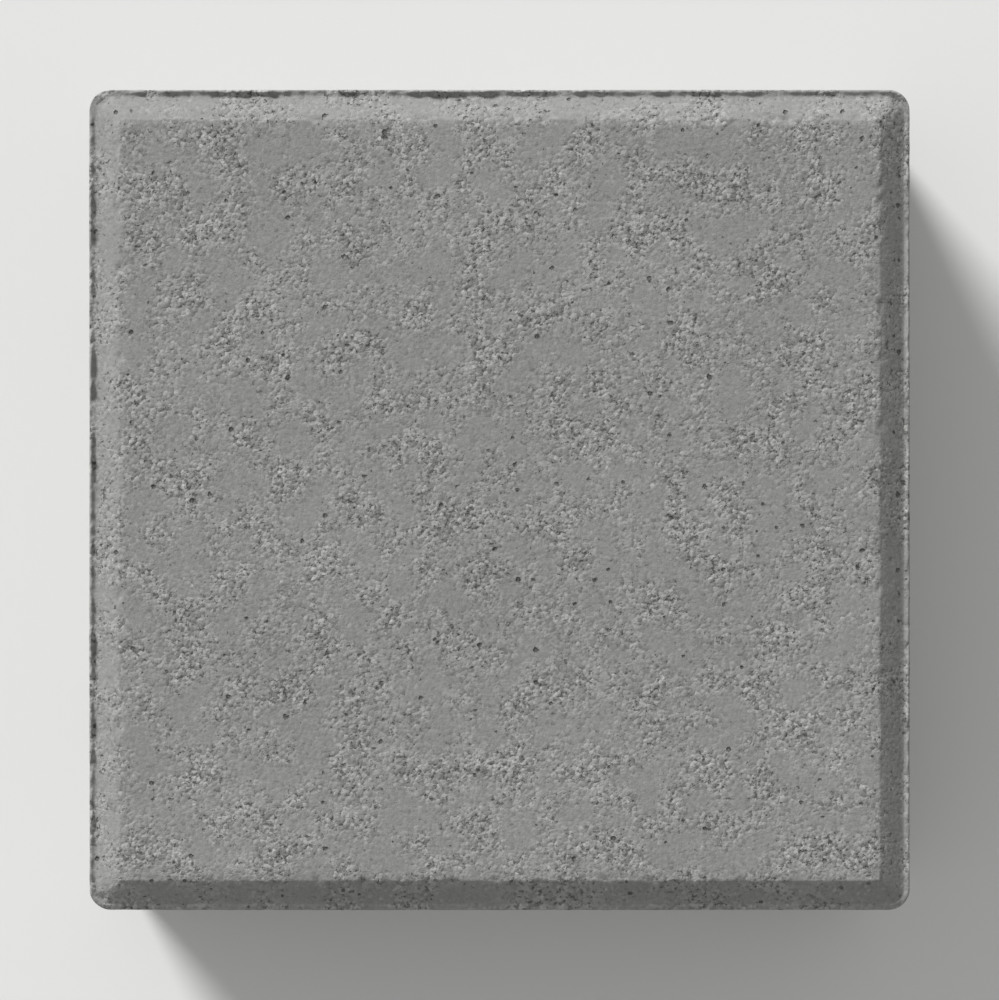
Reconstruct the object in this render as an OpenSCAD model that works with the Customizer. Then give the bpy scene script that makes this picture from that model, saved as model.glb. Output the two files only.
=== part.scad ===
// Square concrete paving stone, cast in one piece: bevelled top edges above a narrow land,
// rounded upright corners and two spacer nibs on each side.
// The origin is the middle of the bed face, and +Z points up through the walking face.

/* [Stone] */
// Length of each side, without the nibs
stone_side = 198; // [100:1:400]
// Height from the bed face to the walking face
stone_height = 60; // [40:1:120]
// Radius of the upright corners
corner_r = 5; // [2:0.5:20]

/* [Top edge] */
// Width of the bevel, seen from above
bevel_w = 6; // [2:0.5:12]
// Drop of the bevel, from the walking face to the land
bevel_drop = 3.5; // [1:0.5:8]
// Width of the flat land between the foot of the bevel and the side
land_w = 1.5; // [0.5:0.25:4]

/* [Spacer nibs] */
// Width of the joint that nibs meeting tip to tip keep open between two stones
joint_w = 2; // [1:0.5:6]
// Width of a nib's flat tip
nib_tip_w = 10; // [4:0.5:20]
// Width of the slanting flank on each side of the tip
nib_flank_w = 2; // [0.5:0.25:5]
// Depth below the walking face at which a nib starts to rise out of the side
nib_depth = 18; // [12:0.5:28]
// Height over which a nib slopes out to its full thickness
nib_slope_h = 5; // [1:0.5:10]

/* [Hidden] */
$fn = 64;
half_side = stone_side / 2;
// Height of the land, at the foot of the bevel
land_z = stone_height - bevel_drop;
// Half the width of the walking face
half_face = half_side - land_w - bevel_w;
// Middle of a corner's round, along X and along Y
corner_at = half_side - corner_r;
// Distance from one stone to the next when they are laid
laying_pitch = stone_side + joint_w;
// Nibs at the quarter points of the pitch meet in straight rows and in rows shifted by half a stone
nib_at = laying_pitch / 4;
// Each of two meeting nibs takes half of the joint
nib_out = joint_w / 2;
nib_top_z = stone_height - nib_depth;
// How far a nib reaches into the side, so that it is one body with the stone
nib_in = 2;
// How far a cutting shape runs past what it cuts
over = 1;
concrete_grey = [0.55, 0.55, 0.54];

// Upright section through the stone: sides, lands, bevels and walking face
module edge_section() {
    polygon([
        [-half_side, 0],
        [half_side, 0],
        [half_side, land_z],
        [half_side - land_w, land_z],
        [half_face, stone_height],
        [-half_face, stone_height],
        [-half_side + land_w, land_z],
        [-half_side, land_z],
    ]);
}

// The section carried straight through the stone along Y
module straight_run() {
    rotate([90, 0, 0])
        linear_extrude(height = stone_side, center = true)
            edge_section();
}

// The stone with square corners, where the bevels of two sides meet in a mitre
module mitred_block() {
    intersection() {
        straight_run();
        rotate([0, 0, 90])
            straight_run();
    }
}

// The square corner column that makes way for a round one
module corner_cut() {
    translate([0, 0, -over])
        cube([corner_r + over, corner_r + over, stone_height + 2 * over]);
}

// The same edge turned a quarter round the corner, so that land and bevel follow the curve
module turned_corner() {
    rotate_extrude(angle = 90)
        intersection() {
            translate([-corner_at, 0])
                edge_section();
            translate([0, -over])
                square([corner_r + over, stone_height + 2 * over]);
        }
}

// Outline of a nib from above, with slanting flanks
module nib_plan() {
    root_half = nib_tip_w / 2 + nib_flank_w;
    polygon([
        [-nib_in, -root_half],
        [0, -root_half],
        [nib_out, -nib_tip_w / 2],
        [nib_out, nib_tip_w / 2],
        [0, root_half],
        [-nib_in, root_half],
    ]);
}

// Outline of a nib from the side, up from the bed and back into the stone at its top
module nib_profile() {
    polygon([
        [-nib_in, 0],
        [nib_out, 0],
        [nib_out, nib_top_z - nib_slope_h],
        [0, nib_top_z],
        [-nib_in, nib_top_z],
    ]);
}

module spacer_nib() {
    intersection() {
        linear_extrude(height = stone_height)
            nib_plan();
        rotate([90, 0, 0])
            linear_extrude(height = stone_side, center = true)
                nib_profile();
    }
}

// Puts a shape at the middle of each corner's round
module at_corners() {
    for (turn = [0:90:270])
        rotate([0, 0, turn])
            translate([corner_at, corner_at, 0])
                children();
}

// Puts a shape at both nib places on each side
module at_nibs() {
    for (turn = [0:90:270], along = [-nib_at, nib_at])
        rotate([0, 0, turn])
            translate([half_side, along, 0])
                children();
}

// The whole casting
module paving_stone() {
    color(concrete_grey)
        union() {
            difference() {
                mitred_block();
                at_corners() corner_cut();
            }
            at_corners() turned_corner();
            at_nibs() spacer_nib();
        }
}

paving_stone();
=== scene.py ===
"""Looks of a square concrete paving stone: its cast surface, its concrete, the light and the camera."""

import itertools
import math

import bpy
import numpy as np
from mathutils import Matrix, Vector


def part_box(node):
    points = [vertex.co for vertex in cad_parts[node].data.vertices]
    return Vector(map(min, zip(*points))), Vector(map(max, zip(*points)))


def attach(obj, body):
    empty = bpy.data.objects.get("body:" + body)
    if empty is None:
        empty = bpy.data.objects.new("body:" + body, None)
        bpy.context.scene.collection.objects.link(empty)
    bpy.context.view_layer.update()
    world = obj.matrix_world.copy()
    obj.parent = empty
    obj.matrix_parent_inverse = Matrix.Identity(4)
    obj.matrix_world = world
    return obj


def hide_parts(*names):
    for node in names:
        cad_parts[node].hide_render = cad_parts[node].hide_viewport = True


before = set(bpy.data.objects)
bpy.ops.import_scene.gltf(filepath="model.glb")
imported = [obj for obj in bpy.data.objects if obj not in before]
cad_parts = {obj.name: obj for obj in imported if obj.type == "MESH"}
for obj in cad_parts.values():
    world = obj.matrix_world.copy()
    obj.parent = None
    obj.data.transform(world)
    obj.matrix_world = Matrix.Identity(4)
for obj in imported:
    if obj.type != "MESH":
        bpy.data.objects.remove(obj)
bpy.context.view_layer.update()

# Sizes of the casting, in metres

MM = 0.001
NODE = "paving_stone"
NIB_OUT = 1.0 * MM
NIB_TIP_W = 10.0 * MM
NIB_FLANK_W = 2.0 * MM
NIB_DEPTH = 18.0 * MM
NIB_SLOPE_H = 5.0 * MM
CORNER_R = 5.0 * MM
BEVEL_W = 6.0 * MM
BEVEL_DROP = 3.5 * MM
LAND_W = 1.5 * MM

box_low, box_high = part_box(NODE)
HEIGHT = box_high.z
HALF_SIDE = box_high.x - NIB_OUT
FACE_INSET = LAND_W + BEVEL_W
HALF_FACE = HALF_SIDE - FACE_INSET
LAND_Z = HEIGHT - BEVEL_DROP
NIB_AT = box_high.x / 2
NIB_TOP_Z = HEIGHT - NIB_DEPTH

# How finely the surface is divided: fine rings round the edges and sides, coarse grids inside them

SIDE_CELLS = 240
GRID_COARSER = 3
GRID_RIM = 6.0 * MM
FACE_MARGINS = np.array([4.0, 2.6, 1.6, 0.9, 0.4, 0.0]) * MM
BEVEL_ROWS = 8
LAND_ROWS = 6
WALL_ROWS = 60
ARRIS = 0.3 * MM
LEAST_DIVISOR = 0.001

# Noise, on a lattice that is turned so that none of its planes lies along a side of the stone

TABLE_SIZE = 512
LATTICE_TILT = np.array([[0.80, 0.36, 0.48], [-0.60, 0.48, 0.64], [0.00, -0.80, 0.60]])
NOISE_GAIN = 1.5


def lattice_keys(table, corner):
    """A table place for each whole-numbered lattice corner, well mixed between neighbours."""
    mixed = np.zeros(len(corner), dtype=int)
    for axis in range(3):
        mixed = table[(mixed + corner[:, axis]) % TABLE_SIZE]
    return mixed


def noise(places, cell, seed):
    """Smooth noise, about -1 to 1, whose lumps are about one cell wide."""
    draw = np.random.default_rng(seed)
    table = draw.permutation(TABLE_SIZE)
    slopes = draw.normal(size=(TABLE_SIZE, 3))
    slopes /= np.linalg.norm(slopes, axis=1, keepdims=True)
    scaled = places @ LATTICE_TILT / cell
    base = np.floor(scaled).astype(int)
    part = scaled - base
    ease = part**3 * (part * (part * 6 - 15) + 10)
    total = np.zeros(len(places))
    for step in itertools.product((0, 1), repeat=3):
        step = np.array(step)
        slope = slopes[lattice_keys(table, base + step)]
        share = np.prod(np.where(step, ease, 1 - ease), axis=1)
        total += share * np.sum(slope * (part - step), axis=1)
    return NOISE_GAIN * total


def fractal(places, cell, seed, octaves=3):
    """Noise with finer and weaker noise on top, each octave half as wide."""
    total = np.zeros(len(places))
    for octave in range(octaves):
        total += noise(places, cell / 2**octave, seed + octave) / 2**octave
    return total


def smooth_step(value, low, high):
    """Rises smoothly from 0 to 1 between two values."""
    share = np.clip((value - low) / (high - low), 0, 1)
    return share * share * (3 - 2 * share)


# Plain surface of the stone: a face grid, rings from the face down to the bed, and a bed grid


def ring(inset):
    """Points round the stone at one distance in from its sides, counter-clockwise seen from above."""
    radius = max(CORNER_R - inset, 0.0)
    straight = HALF_SIDE - inset - radius
    shares = np.linspace(-1, 1, SIDE_CELLS + 1)[:-1]
    run = shares * (straight + radius * math.pi / 4)
    past = np.maximum(np.abs(run) - straight, 0)
    angle = past / max(radius, LEAST_DIVISOR)
    out = straight + radius * np.cos(angle)
    along = np.sign(run) * (np.minimum(np.abs(run), straight) + radius * np.sin(angle))
    sides = [(out, along), (-along, out), (-out, -along), (along, -out)]
    return np.concatenate([np.column_stack(side) for side in sides])


def grid_points(half, cells):
    """Points of a square grid round the middle of the stone."""
    lines = np.linspace(-half, half, cells + 1)
    across, along = np.meshgrid(lines, lines, indexing="ij")
    return np.column_stack([across.ravel(), along.ravel()])


def grid_border(cells):
    """Places in a square grid's list of points along its border, in the order of a ring."""
    index = np.arange((cells + 1) ** 2).reshape(cells + 1, cells + 1)
    return np.concatenate([index[-1, :-1], index[:0:-1, -1], index[0, :0:-1], index[:-1, 0]])


def grid_quads(cells):
    """Faces of a square grid, counter-clockwise seen from above."""
    index = np.arange((cells + 1) ** 2).reshape(cells + 1, cells + 1)
    corners = [index[:-1, :-1], index[1:, :-1], index[1:, 1:], index[:-1, 1:]]
    return np.stack(corners, axis=-1).reshape(-1, 4)


def band_quads(upper, lower):
    """Faces between two rings of as many points, facing outwards on the way down the stone."""
    return np.stack([upper, lower, np.roll(lower, -1), np.roll(upper, -1)], axis=-1)


def joining_faces(fine, coarse):
    """Faces from a fine ring to a grid's border with a third of its points."""
    start, one, two = fine[0::3], fine[1::3], fine[2::3]
    end = np.roll(start, -1)
    far = np.roll(coarse, -1)
    left = np.stack([start, coarse, one], axis=-1)
    middle = np.stack([one, coarse, far, two], axis=-1)
    right = np.stack([two, far, end], axis=-1)
    return left.tolist() + middle.tolist() + right.tolist()


def edge_rows():
    """Zone, inset and height of every ring from the rim of the face down to the bed."""
    rows = [("face", FACE_INSET + margin, HEIGHT) for margin in FACE_MARGINS]
    for share in [ARRIS / BEVEL_W, *np.linspace(0, 1, BEVEL_ROWS)[1:]]:
        rows.append(("bevel", FACE_INSET - BEVEL_W * share, HEIGHT - BEVEL_DROP * share))
    for share in np.linspace(0, 1, LAND_ROWS + 1)[1:]:
        rows.append(("land", LAND_W * (1 - share), LAND_Z))
    for share in np.linspace(0, 1, WALL_ROWS + 1)[1:]:
        rows.append(("wall", 0.0, LAND_Z * (1 - share)))
    rows.append(("bed", ARRIS, 0.0))
    rows.append(("bed", GRID_RIM / 2, 0.0))
    return rows


def plain_surface():
    """Points, zone of each point, inset of each point and faces of the stone before any relief."""
    cells = SIDE_CELLS // GRID_COARSER
    layers = [("face", FACE_INSET + GRID_RIM, HEIGHT, grid_points(HALF_FACE - GRID_RIM, cells))]
    layers += [(zone, inset, height, ring(inset)) for zone, inset, height in edge_rows()]
    layers += [("bed", GRID_RIM, 0.0, grid_points(HALF_SIDE - GRID_RIM, cells))]

    points, zones, insets, places = [], [], [], []
    for zone, inset, height, plan in layers:
        places.append(np.arange(len(zones), len(zones) + len(plan)))
        points.append(np.column_stack([plan, np.full(len(plan), height)]))
        zones += [zone] * len(plan)
        insets += [inset] * len(plan)

    border = grid_border(cells)
    quads = grid_quads(cells)
    faces = quads.tolist()
    faces += [face[::-1] for face in joining_faces(places[1], places[0][border])]
    for upper, lower in zip(places[1:-2], places[2:-1]):
        faces += band_quads(upper, lower).tolist()
    faces += joining_faces(places[-2], places[-1][border])
    faces += places[-1][quads[:, ::-1]].tolist()
    return np.concatenate(points), np.array(zones), np.array(insets), faces


def nib_height(points):
    """How far the spacer nibs lift each point of the sides outwards."""
    along = np.minimum(np.abs(points[:, 0]), np.abs(points[:, 1]))
    root_half = NIB_TIP_W / 2 + NIB_FLANK_W
    in_plan = (root_half - np.abs(along - NIB_AT)) / NIB_FLANK_W
    in_height = (NIB_TOP_Z - points[:, 2]) / NIB_SLOPE_H
    return NIB_OUT * np.clip(np.minimum(in_plan, in_height), 0, 1)


# Relief of the cast surface: roughness and drag streaks, air voids, burr, wear and chips

ROUGHNESS = {
    "face": 0.018 * MM,
    "bevel": 0.020 * MM,
    "land": 0.06 * MM,
    "wall": 0.14 * MM,
    "bed": 0.22 * MM,
}
ROUGH_CELL = 3.2 * MM
BROAD_H = 0.10 * MM
BROAD_CELL = 60 * MM
DRAG_DEPTH = 0.16 * MM
DRAG_CELL = 2.2 * MM
DRAG_SQUEEZE = (1.0, 1.0, 0.05)

VOID_REACH = {"wall": 1.0, "bed": 0.4}
VOID_CELL = 8.5 * MM
VOID_SHARE = 0.5
VOID_RADII = (1.0 * MM, 3.0 * MM)
VOID_SMALL_BIAS = 2
VOID_RIM = 0.7 * MM
VOID_DEEPEST = 2.4 * MM
VOID_RAGGED = 1.0 * MM
VOID_RAGGED_CELL = 2.6 * MM

BURR_H = 0.82 * MM
BURR_INSET = 0.46 * MM
BURR_WIDTH = 0.48 * MM
BURR_MEAN = 0.54
BURR_SWELL = 1.0
BURR_SWELL_CELL = 14 * MM
BURR_RAGGED = 1.2
BURR_RAGGED_CELL = 2.4 * MM
BURR_LIMITS = (0.0, 1.6)
BURR_CORNER = 0.45
BURR_CORNER_REACH = 3 * CORNER_R
FRONT_FALL = 0.45 * MM

WEAR_DEPTH = 0.15 * MM
WEAR_REACH = 0.85 * MM
WEAR_CELL = 11 * MM
WEAR_MEAN = 0.6
WEAR_SWING = 1.1
WEAR_LIMITS = (0.1, 1.6)
MITRE_DEPTH = 0.34 * MM
MITRE_REACH = 1.7 * MM
CHIP_DEPTH = 0.42 * MM
CHIP_REACH = 0.8 * MM
CHIP_CELL = 3.0 * MM
CHIP_LIMITS = (0.14, 0.60)


def open_voids(places, outward, seed):
    """Depth of the round air voids that a surface cuts open, at most one to a lattice cell."""
    draw = np.random.default_rng(seed)
    table = draw.permutation(TABLE_SIZE)
    offsets = draw.uniform(size=(TABLE_SIZE, 3))
    smallest, largest = VOID_RADII
    radii = smallest + (largest - smallest) * draw.uniform(size=TABLE_SIZE) ** VOID_SMALL_BIAS
    radii[draw.uniform(size=TABLE_SIZE) > VOID_SHARE] = 0.0
    scaled = places @ LATTICE_TILT / VOID_CELL
    tilted = outward @ LATTICE_TILT
    base = np.floor(scaled).astype(int)
    depth = np.zeros(len(places))
    for step in itertools.product((-1, 0, 1), repeat=3):
        corner = base + np.array(step)
        key = lattice_keys(table, corner)
        to_middle = (corner + offsets[key] - scaled) * VOID_CELL
        gap = np.linalg.norm(to_middle, axis=1)
        below = -np.sum(to_middle * tilted, axis=1)
        aside_squared = np.maximum(gap**2 - below**2, 0)
        bowl = below + np.sqrt(np.maximum(radii[key] ** 2 - aside_squared, 0))
        depth = np.maximum(depth, bowl * np.clip((radii[key] - gap) / VOID_RIM, 0, 1))
    return np.minimum(depth, VOID_DEEPEST)


def void_depth(points, outward, zones):
    """Depth of the air voids in the sides and the bed, with uneven outlines."""
    drift = np.column_stack([noise(points, VOID_RAGGED_CELL, seed) for seed in (21, 22, 23)])
    reach = np.array([VOID_REACH.get(zone, 0.0) for zone in zones])
    return reach * open_voids(points + VOID_RAGGED * drift, outward, seed=41)


def burr(points, zones, insets):
    """Height of the ragged burr along the outer edge of the land, which is worn away at the front."""
    shape = np.exp(-(((insets - BURR_INSET) / BURR_WIDTH) ** 2))
    swell = BURR_SWELL * noise(points, BURR_SWELL_CELL, seed=51)
    ragged = BURR_RAGGED * noise(points, BURR_RAGGED_CELL, seed=52)
    front = smooth_step(-points[:, 1], HALF_SIDE - CORNER_R, HALF_SIDE)
    along = np.abs(points[:, :2]).min(axis=1)
    corner = smooth_step(along, HALF_SIDE - BURR_CORNER_REACH, HALF_SIDE - CORNER_R)
    height = BURR_H * shape * np.clip(BURR_MEAN + swell + ragged, *BURR_LIMITS)
    height *= 1 - (1 - BURR_CORNER) * corner
    fall = FRONT_FALL * smooth_step(LAND_W - insets, 0, LAND_W)
    return ((1 - front) * height - front * fall) * (zones == "land")


def arris_wear(points, zones, insets):
    """Depth to which the edge of the face and the mitres at its corners are worn and chipped."""
    across = np.abs(points[:, :2])
    on_face = zones == "face"
    on_bevel = zones == "bevel"
    from_arris = np.where(on_face, HALF_FACE - across.max(axis=1), FACE_INSET - insets)
    from_mitre = np.where(on_bevel, np.abs(across[:, 0] - across[:, 1]), HALF_SIDE)
    arris_share = np.exp(-((from_arris / WEAR_REACH) ** 2))
    mitre_share = np.exp(-((from_mitre / MITRE_REACH) ** 2))
    chip_share = np.exp(-((np.minimum(from_arris, from_mitre) / CHIP_REACH) ** 2))
    uneven = np.clip(WEAR_MEAN + WEAR_SWING * noise(points, WEAR_CELL, seed=91), *WEAR_LIMITS)
    chipped = smooth_step(noise(points, CHIP_CELL, seed=92), *CHIP_LIMITS)
    worn = np.maximum(WEAR_DEPTH * uneven * arris_share, MITRE_DEPTH * mitre_share)
    return (worn + CHIP_DEPTH * chipped * chip_share) * (on_face | on_bevel)


def cast_relief(points, outward, zones, insets):
    """Height of the relief outwards from the plain surface, and the depth of its voids."""
    depth = void_depth(points, outward, zones)
    relief = BROAD_H * noise(points, BROAD_CELL, seed=71)
    relief += np.array([ROUGHNESS[zone] for zone in zones]) * fractal(points, ROUGH_CELL, seed=81)
    relief += DRAG_DEPTH * noise(points * DRAG_SQUEEZE, DRAG_CELL, seed=61) * (zones == "wall")
    relief -= arris_wear(points, zones, insets)
    relief -= depth
    return relief, depth


def keep_values(mesh, name, values):
    """Keeps a number for each point of a mesh, for its material."""
    attribute = mesh.attributes.new(name, "FLOAT", "POINT")
    attribute.data.foreach_set("value", values)


def place(name, data):
    """Adds a mesh, lamp or camera to the scene as an object."""
    placed = bpy.data.objects.new(name, data)
    bpy.context.collection.objects.link(placed)
    return placed


def make_stone():
    """The stone with its relief as one closed mesh."""
    points, zones, insets, faces = plain_surface()
    mesh = bpy.data.meshes.new("cast_stone")
    mesh.from_pydata(points.tolist(), [], faces)
    outward = np.empty(3 * len(points))
    mesh.vertex_normals.foreach_get("vector", outward)
    outward = outward.reshape(-1, 3)
    sideways = outward * (1, 1, 0)
    sideways /= np.maximum(np.linalg.norm(sideways, axis=1, keepdims=True), LEAST_DIVISOR)
    relief, depth = cast_relief(points, outward, zones, insets)
    nibs = nib_height(points) * (zones == "wall")
    shaped = points + outward * relief[:, None] + sideways * nibs[:, None]
    shaped[:, 2] += burr(points, zones, insets)
    shaped[:, 2] = np.maximum(shaped[:, 2], box_low.z)
    mesh.vertices.foreach_set("co", shaped.ravel())
    mesh.shade_smooth()
    # The depth of the voids, which the material turns into painted shade
    keep_values(mesh, "hollow", depth / VOID_DEEPEST)
    keep_values(mesh, "coarse", np.isin(zones, ["wall", "bed"]).astype(float))
    keep_values(mesh, "pressed", (zones == "bevel").astype(float))
    mesh.update()
    return place("cast_stone", mesh)


# Ways to add nodes

MIX_A = 6
MIX_B = 7
MIX_COLOUR = 2


class NodeTree:
    """Short ways to add nodes to a material or a world."""

    def __init__(self, owner):
        owner.use_nodes = True
        self.tree = owner.node_tree
        self.tree.nodes.clear()

    def add(self, kind, inputs, **options):
        """Adds a node, with a value or another node's output for each input that is named."""
        node = self.tree.nodes.new(kind)
        for name, option in options.items():
            setattr(node, name, option)
        for name, value in inputs.items():
            if isinstance(value, bpy.types.NodeSocket):
                self.tree.links.new(value, node.inputs[name])
            else:
                node.inputs[name].default_value = value
        return node

    def calculate(self, operation, first, second):
        return self.add("ShaderNodeMath", {0: first, 1: second}, operation=operation).outputs[0]

    def plus(self, first, second):
        return self.calculate("ADD", first, second)

    def minus(self, first, second):
        return self.calculate("SUBTRACT", first, second)

    def times(self, first, second):
        return self.calculate("MULTIPLY", first, second)

    def larger(self, first, second):
        return self.calculate("MAXIMUM", first, second)

    def noise(self, where, cell, detail, roughness=0.5):
        """Noise from 0 to 1, whose lumps are about one cell wide."""
        inputs = {"Vector": where, "Scale": 1 / cell, "Detail": detail, "Roughness": roughness}
        return self.add("ShaderNodeTexNoise", inputs).outputs["Fac"]

    def grains(self, where, cell):
        """The distance to the middle of the nearest grain, and three random numbers of that grain."""
        inputs = {"Vector": where, "Scale": 1 / cell}
        grains = self.add("ShaderNodeTexVoronoi", inputs, voronoi_dimensions="3D")
        numbers = self.add("ShaderNodeSeparateColor", {"Color": grains.outputs["Color"]})
        return grains.outputs["Distance"], numbers.outputs

    def remap(self, value, low, high, to_low=0.0, to_high=1.0):
        """Carries a range of values to another one, and stops at its ends."""
        inputs = {"Value": value, "From Min": low, "From Max": high, "To Min": to_low, "To Max": to_high}
        return self.add("ShaderNodeMapRange", inputs).outputs[0]

    def blend(self, share, none, full):
        """Goes from one value to another as a share rises from 0 to 1."""
        return self.remap(share, 0.0, 1.0, none, full)

    def attribute(self, name):
        return self.add("ShaderNodeAttribute", {}, attribute_name=name).outputs["Fac"]

    def shade(self, colour, factor):
        """A colour made lighter or darker by a factor that varies over the surface."""
        inputs = {0: 1.0, MIX_A: colour, MIX_B: factor}
        mix = self.add("ShaderNodeMix", inputs, data_type="RGBA", blend_type="MULTIPLY")
        return mix.outputs[MIX_COLOUR]

    def cover(self, inputs):
        """Ends a material with a surface shader."""
        shader = self.add("ShaderNodeBsdfPrincipled", inputs)
        self.add("ShaderNodeOutputMaterial", {"Surface": shader.outputs[0]})


# Concrete, in layers that each give a tone, some of it painted shade or highlight, and, in millimetres,
# a height

CEMENT_GREY = (0.262, 0.2635, 0.2542, 1.0)
CONCRETE_ROUGHNESS = 0.92
CONCRETE_SPECULAR = 0.25
NOISE_SPAN = (0.3, 0.7)
MIDDLE = 0.5

MOTTLE_CELL = 45 * MM
MOTTLE_TONES = (0.955, 1.045)
PATCH_CELL = 10 * MM
PATCH_SPAN = (0.39, 0.61)
PATCH_TONES = (0.985, 1.05)
PRESSED_OPENNESS = 0.95
PRESSED_TONE = 0.93
SIDE_OPENNESS = 0.6

GRIT_CELL = 1.02 * MM
GRIT_SHARPNESS = 0.6
# Grit tone: lighter on raised grit and darker between, partly grain tone and partly painted highlight
# and shade
GRIT_TONES_AND_SHADE = (0.90, 1.10)
SMOOTH_GRIT = 0.07
OPEN_GRIT = 0.28
SMOOTH_PIT_RIM = 0.31
OPEN_PIT_RIM = 0.42
PIT_FALL = 0.10
PIT_DEPTH = 0.45
PIT_SHADE_FROM = 0.3
# Painted shade in the pits of the grit, on the face and on the sides
FACE_PIT_SHADE = 0.58
SIDE_PIT_SHADE = 0.84

FINE_CELL = 0.34 * MM
FINE_SPAN = (0.25, 0.75)
# Partly grain tone, partly painted highlight on raised grain and painted shade in its dips
FINE_TONES_AND_SHADE = (0.92, 1.08)
FINE_RELIEF = 0.05

SAND_CELL = 0.86 * MM
SMOOTH_SAND = 0.0375
OPEN_SAND = 0.15
SMOOTH_SPREAD = 0.10
OPEN_SPREAD = 0.82
SIDE_SPREAD = 0.22
PRESSED_SPREAD = 0.6
PALE_FROM = 0.92
PALE_TONE = 1.25
DARK_FROM = 0.94
DARK_TONE = 0.75

PORE_CELL = 4.6 * MM
PORE_R = 0.75 * MM
PORE_HEART = 0.45
PORE_RAGGED = 0.05
PORE_DEPTH = 0.7
# Painted shade inside the pores
PORE_SHADE = 0.42

GAP_CELL = 3.0 * MM
GAP_SPAN = (0.40, 0.30)
GAP_DEPTH = 0.8
GAP_LUMPS = 0.9
# Painted shade in the gaps
GAP_SHADE = 0.76
STREAK_TONE = 0.35
# The sides and the bed are a little darker all over: painted shade that tones down the low key light on
# the sides
SIDE_SHADE = 0.96

HOLLOW_EDGE = (0.16, 0.28)
HOLLOW_HEART = (0.30, 0.90)
# Painted shade in the air voids: a step at their edge and more in their heart
VOID_EDGE_SHADE = 0.84
VOID_HEART_SHADE = 0.66
HOLLOW_RAGGED = 0.12
HOLLOW_DEPTH = 0.3


def grit_layer(nodes, grit, openness, coarse):
    """Fine grit, lighter where it stands up and darker where it sinks (partly its own tone, partly
    painted highlight and shade), and the pits that open between its grains where the surface is open,
    darkened with painted shade.
    """
    rim = nodes.blend(openness, SMOOTH_PIT_RIM, OPEN_PIT_RIM)
    pits = nodes.remap(grit, rim, nodes.minus(rim, PIT_FALL))
    # Painted shade in the pits
    pit_shade = nodes.blend(coarse, FACE_PIT_SHADE, SIDE_PIT_SHADE)
    # Partly grain tone, partly painted highlight on raised grit and painted shade between
    grit_tone_and_shade = nodes.remap(grit, *NOISE_SPAN, *GRIT_TONES_AND_SHADE)
    tone = nodes.times(grit_tone_and_shade, nodes.remap(pits, PIT_SHADE_FROM, 1.0, 1.0, pit_shade))
    relief = nodes.blend(openness, SMOOTH_GRIT, OPEN_GRIT)
    return tone, nodes.minus(nodes.times(grit, relief), nodes.times(pits, PIT_DEPTH))


def fine_layer(nodes, where):
    """The finest grain, all over, lighter where it stands up: partly grain tone, partly painted
    highlight and shade.
    """
    fine = nodes.noise(where, FINE_CELL, detail=1.0)
    return nodes.remap(fine, *FINE_SPAN, *FINE_TONES_AND_SHADE), nodes.times(fine, FINE_RELIEF)


def sand_layer(nodes, where, openness, coarse, pressed):
    """Sand grains, each with its own tone, a few of them pale or dark."""
    gap, numbers = nodes.grains(where, SAND_CELL)
    spread = nodes.blend(openness, SMOOTH_SPREAD, OPEN_SPREAD)
    spread = nodes.times(spread, nodes.blend(pressed, 1.0, PRESSED_SPREAD))
    spread = nodes.blend(coarse, spread, SIDE_SPREAD)
    tone = nodes.plus(nodes.times(nodes.minus(numbers[0], MIDDLE), spread), 1.0)
    tone = nodes.times(tone, nodes.remap(numbers[1], PALE_FROM, 1.0, 1.0, PALE_TONE))
    tone = nodes.times(tone, nodes.remap(numbers[2], DARK_FROM, 1.0, 1.0, DARK_TONE))
    relief = nodes.blend(openness, -SMOOTH_SAND, -OPEN_SAND)
    return tone, nodes.times(gap, relief)


def pore_layer(nodes, where, grit):
    """Single pores, far apart, darkened with painted shade, with edges that follow the grit."""
    gap, numbers = nodes.grains(where, PORE_CELL)
    edge = nodes.times(numbers[0], PORE_R / PORE_CELL)
    ragged = nodes.remap(grit, *NOISE_SPAN, -PORE_RAGGED, PORE_RAGGED)
    pores = nodes.remap(nodes.plus(gap, ragged), edge, nodes.times(edge, PORE_HEART))
    return nodes.blend(pores, 1.0, PORE_SHADE), nodes.times(pores, -PORE_DEPTH)


def side_layer(nodes, where, coarse):
    """Lumps, gaps and upright drag streaks on the sides and the bed, as the mould leaves them, with
    painted shade in the gaps and a little painted shade over the sides and bed.
    """
    lumps = nodes.noise(where, GAP_CELL, detail=3.0)
    gaps = nodes.times(nodes.remap(lumps, *GAP_SPAN), coarse)
    squeezed = nodes.add("ShaderNodeVectorMath", {0: where, 1: DRAG_SQUEEZE}, operation="MULTIPLY")
    streaks = nodes.noise(squeezed.outputs[0], DRAG_CELL, detail=2.0)
    # Drag streaks around a base of painted shade on the sides and the bed
    streaks_and_side_shade = nodes.plus(nodes.times(nodes.minus(streaks, MIDDLE), STREAK_TONE), SIDE_SHADE)
    tone = nodes.blend(coarse, 1.0, streaks_and_side_shade)
    # Painted shade in the gaps
    tone = nodes.times(tone, nodes.blend(gaps, 1.0, GAP_SHADE))
    height = nodes.times(nodes.times(lumps, GAP_LUMPS), coarse)
    return tone, nodes.minus(height, nodes.times(gaps, GAP_DEPTH))


def hollow_layer(nodes, grit):
    """Painted shade in the air voids, darker in their heart, with edges that follow the grit."""
    ragged = nodes.remap(grit, *NOISE_SPAN, -HOLLOW_RAGGED, HOLLOW_RAGGED)
    depth = nodes.plus(nodes.attribute("hollow"), ragged)
    inside = nodes.remap(depth, *HOLLOW_EDGE)
    heart_shade = nodes.remap(depth, *HOLLOW_HEART, 1.0, VOID_HEART_SHADE)
    tone = nodes.times(nodes.blend(inside, 1.0, VOID_EDGE_SHADE), heart_shade)
    return tone, nodes.times(inside, -HOLLOW_DEPTH)


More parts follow.
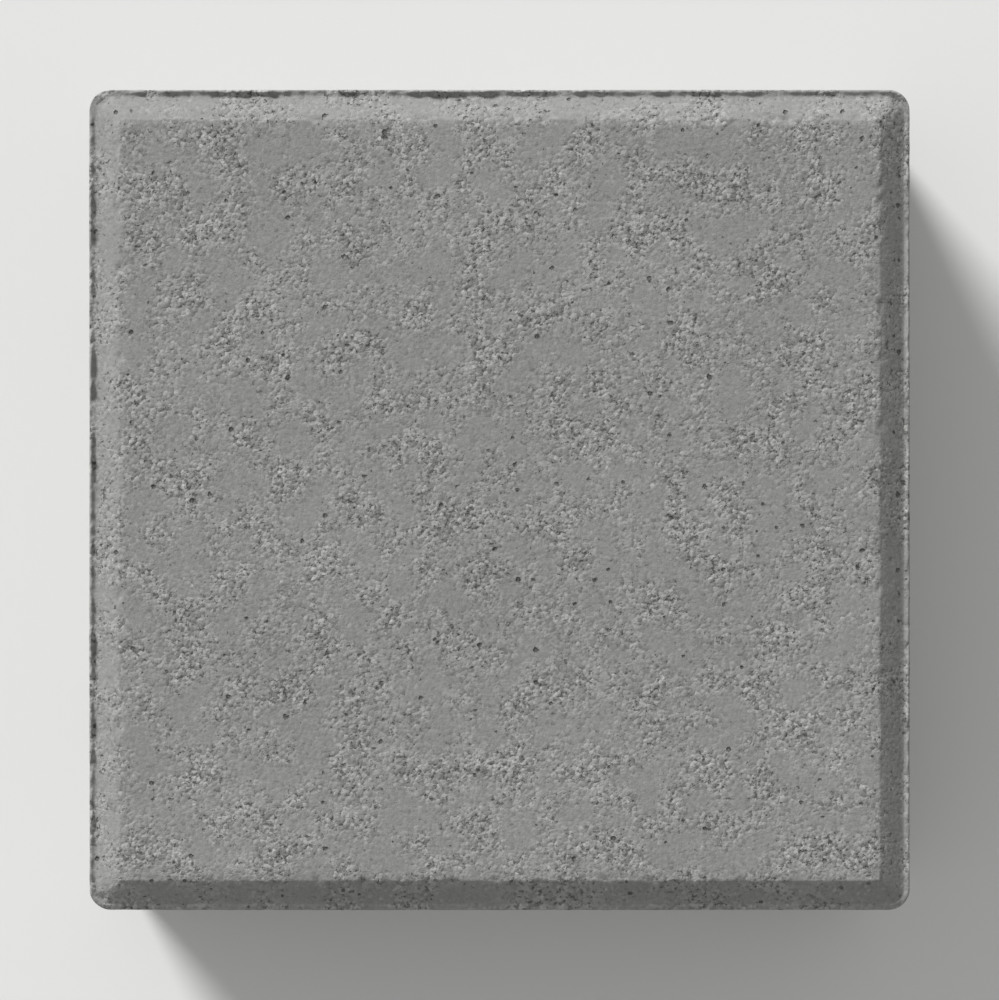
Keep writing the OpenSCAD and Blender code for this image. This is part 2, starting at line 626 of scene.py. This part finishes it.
def concrete():
    """Fine-grained grey concrete, speckled in patches with grain tone and painted highlight and shade,
    with painted shade in its pits, pores, gaps and voids, and rougher sides and bed.
    """
    material = bpy.data.materials.new("concrete")
    nodes = NodeTree(material)
    where = nodes.add("ShaderNodeTexCoord", {}).outputs["Object"]
    coarse = nodes.attribute("coarse")
    pressed = nodes.attribute("pressed")
    patches = nodes.remap(nodes.noise(where, PATCH_CELL, detail=3.0), *PATCH_SPAN)
    patches = nodes.times(patches, nodes.blend(pressed, 1.0, PRESSED_OPENNESS))
    openness = nodes.larger(patches, nodes.times(coarse, SIDE_OPENNESS))
    grit = nodes.noise(where, GRIT_CELL, detail=3.0, roughness=GRIT_SHARPNESS)

    tone = nodes.remap(nodes.noise(where, MOTTLE_CELL, detail=4.0), *NOISE_SPAN, *MOTTLE_TONES)
    tone = nodes.times(tone, nodes.blend(patches, *PATCH_TONES))
    tone = nodes.times(tone, nodes.blend(pressed, 1.0, PRESSED_TONE))
    height = 0.0
    layers = [
        grit_layer(nodes, grit, openness, coarse),
        fine_layer(nodes, where),
        sand_layer(nodes, where, openness, coarse, pressed),
        pore_layer(nodes, where, grit),
        side_layer(nodes, where, coarse),
        hollow_layer(nodes, grit),
    ]
    # Every layer's tone multiplies in, its painted shade and highlight included
    for layer_tone, layer_height in layers:
        tone = nodes.times(tone, layer_tone)
        height = nodes.plus(layer_height, height)

    bump = nodes.add("ShaderNodeBump", {"Height": height, "Distance": MM, "Strength": 1.0})
    surface = {
        "Base Color": nodes.shade(CEMENT_GREY, tone),
        "Roughness": CONCRETE_ROUGHNESS,
        "Specular IOR Level": CONCRETE_SPECULAR,
        "Normal": bump.outputs[0],
    }
    nodes.cover(surface)
    return material


# Floor, light and camera

FLOOR_COLOUR = (0.80, 0.80, 0.79, 1.0)
FLOOR_ROUGHNESS = 0.9
FLOOR_SPECULAR = 0.2
FLOOR_HALF = 40.0
KEY_STRENGTH = 5.0
KEY_ELEVATION = math.radians(20)
KEY_AZIMUTH = math.radians(124)
KEY_SOFTNESS = math.radians(18)
WHITE = (1.0, 1.0, 1.0, 1.0)
AMBIENT = 0.425
BACKDROP = 0.92
STONE_SHARE = 0.82
LENS = 110.0


def make_floor():
    """A plain pale floor under the stone, wide enough to reach past every view."""
    mesh = bpy.data.meshes.new("floor")
    signs = [(-1, -1), (1, -1), (1, 1), (-1, 1)]
    mesh.from_pydata([(FLOOR_HALF * x, FLOOR_HALF * y, 0) for x, y in signs], [], [(0, 1, 2, 3)])
    floor = place("floor", mesh)
    material = bpy.data.materials.new("floor")
    surface = {
        "Base Color": FLOOR_COLOUR,
        "Roughness": FLOOR_ROUGHNESS,
        "Specular IOR Level": FLOOR_SPECULAR,
    }
    NodeTree(material).cover(surface)
    mesh.materials.append(material)


def make_sun(name, strength, elevation, azimuth, softness):
    """A distant lamp at an elevation and at an azimuth counted from +X towards +Y."""
    lamp = bpy.data.lights.new(name, "SUN")
    lamp.energy = strength
    lamp.angle = softness
    sun = place(name, lamp)
    sun.rotation_euler = (0, math.pi / 2 - elevation, azimuth)


def make_world():
    """Even light from all round, and a pale backdrop where the camera sees past the floor."""
    world = bpy.data.worlds.new("studio")
    nodes = NodeTree(world)
    path = nodes.add("ShaderNodeLightPath", {})
    seen = nodes.larger(path.outputs["Is Camera Ray"], path.outputs["Is Glossy Ray"])
    seen = nodes.larger(seen, path.outputs["Is Transmission Ray"])
    strength = nodes.blend(seen, AMBIENT, BACKDROP)
    background = nodes.add("ShaderNodeBackground", {"Color": WHITE, "Strength": strength})
    nodes.add("ShaderNodeOutputWorld", {"Surface": background.outputs[0]})
    bpy.context.scene.world = world


def make_camera():
    """Straight above the middle of the stone, with +Y at the top of the picture."""
    lens = bpy.data.cameras.new("camera")
    lens.lens = LENS
    camera = place("camera", lens)
    view_width = 2 * HALF_SIDE / STONE_SHARE
    camera.location = (0, 0, LAND_Z + view_width * LENS / lens.sensor_width)
    bpy.context.scene.camera = camera


stone = make_stone()
stone.data.materials.append(concrete())
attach(stone, "root")
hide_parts(NODE)

make_floor()
make_sun("key", KEY_STRENGTH, KEY_ELEVATION, KEY_AZIMUTH, KEY_SOFTNESS)
make_world()
make_camera()
bpy.context.scene.view_settings.view_transform = "Standard"
